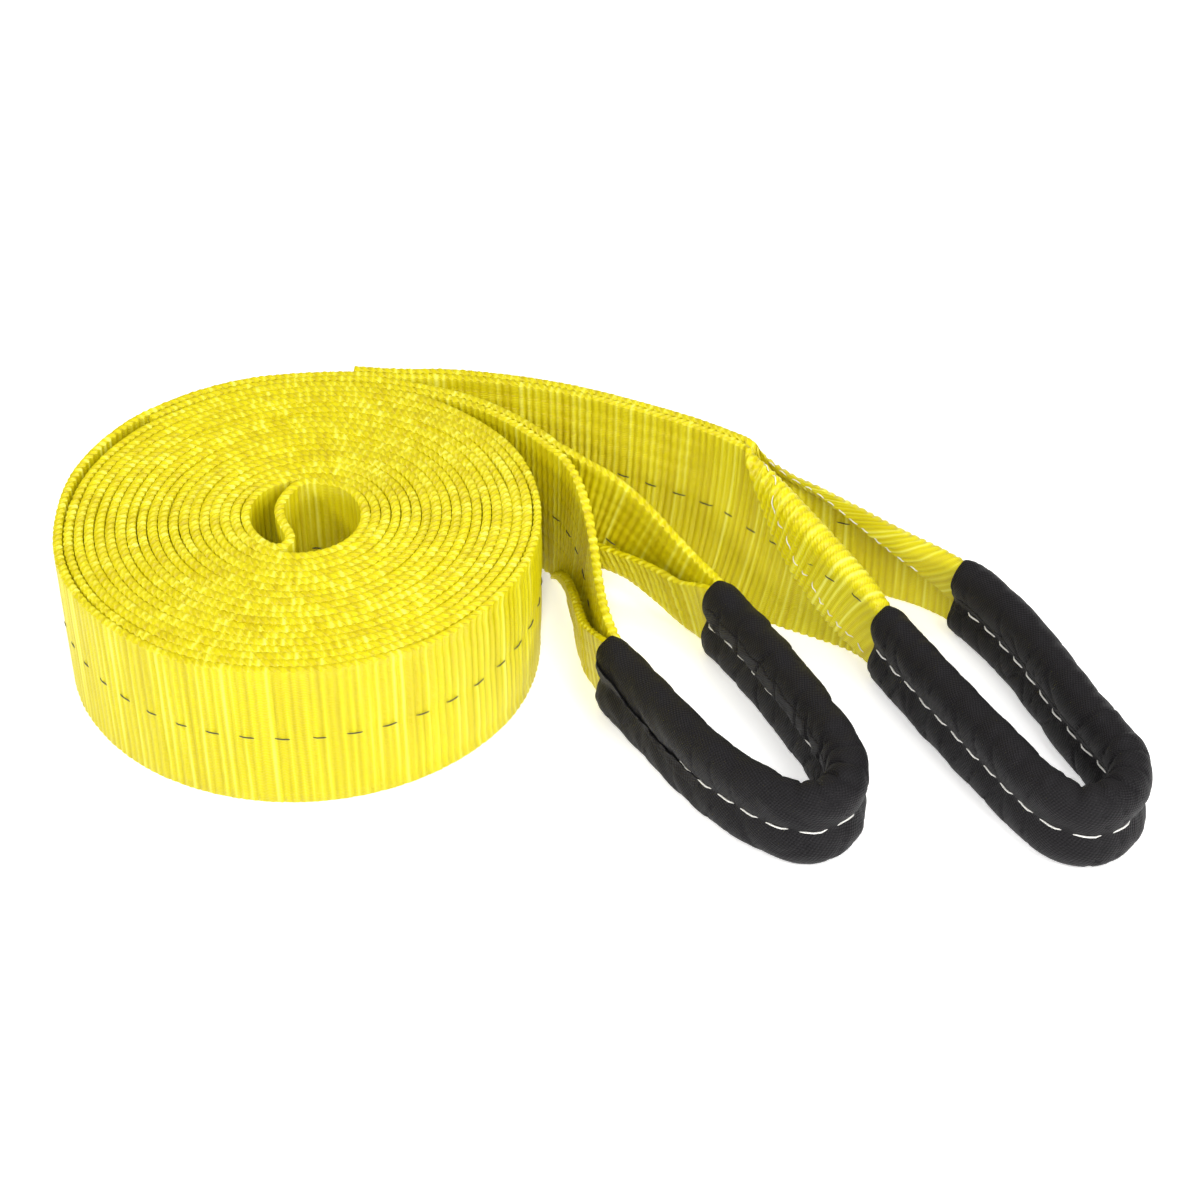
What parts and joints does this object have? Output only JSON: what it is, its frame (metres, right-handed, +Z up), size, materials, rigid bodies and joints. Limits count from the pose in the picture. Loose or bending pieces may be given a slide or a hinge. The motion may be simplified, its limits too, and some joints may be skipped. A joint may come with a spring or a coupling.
{
  "type": "flat web sling",
  "caption": "Yellow ribbed flat web sling, doubled and rolled up on edge, with a black fabric sleeve on each of its sewn eyes.",
  "frame": {"origin": "middle of the whole sling's footprint, on the ground", "axes": "+Z up, along the roll's axis; +X from the roll towards the eyes, the longest way across"},
  "size_m": [0.4812, 0.2718, 0.076],
  "materials": {
    "yellow_web": "ribbed woven polyester web",
    "black_fabric": "plain woven nylon",
    "white_thread": "sewing thread",
    "yellow_thread": "sewing thread"
  },
  "bodies": {
    "roll": {"web_roll": "yellow_web", "near_lap_end": "yellow_web", "far_lap_end": "yellow_web"},
    "near_tail": {"near_tail_web": "yellow_web", "near_tail_lap": "yellow_web", "near_lap_stitching": "yellow_thread"},
    "near_eye": {"near_eye_web": "yellow_web", "near_eye_sleeve": "black_fabric", "near_sleeve_outer_thread": "white_thread", "near_sleeve_inner_thread": "white_thread"},
    "far_tail": {"far_tail_web": "yellow_web", "far_tail_lap": "yellow_web", "far_lap_stitching": "yellow_thread"},
    "far_eye": {"far_eye_web": "yellow_web", "far_eye_sleeve": "black_fabric", "far_sleeve_outer_thread": "white_thread", "far_sleeve_inner_thread": "white_thread", "far_front_fold_thread": "white_thread", "far_back_fold_thread": "white_thread"}
  },
  "joints": [
    {"name": "near_tail_swing", "type": "hinge", "parent": "roll", "child": "near_tail", "pos_m": [-0.07545, 0.11606, 0], "axis": [0, 0, 1], "range_deg": [-4, 3]},
    {"name": "near_eye_swing", "type": "hinge", "parent": "near_tail", "child": "near_eye", "pos_m": [-0.01945, 0.07447, 0], "axis": [0, 0, 1], "range_deg": [-6, 4]},
    {"name": "far_tail_swing", "type": "hinge", "parent": "roll", "child": "far_tail", "pos_m": [-0.06345, 0.12916, 0], "axis": [0, 0, 1], "range_deg": [0, 25]},
    {"name": "far_eye_swing", "type": "hinge", "parent": "far_tail", "child": "far_eye", "pos_m": [0.07155, 0.07448, 0], "axis": [0, 0, 1], "range_deg": [-3, 25]}
  ]
}
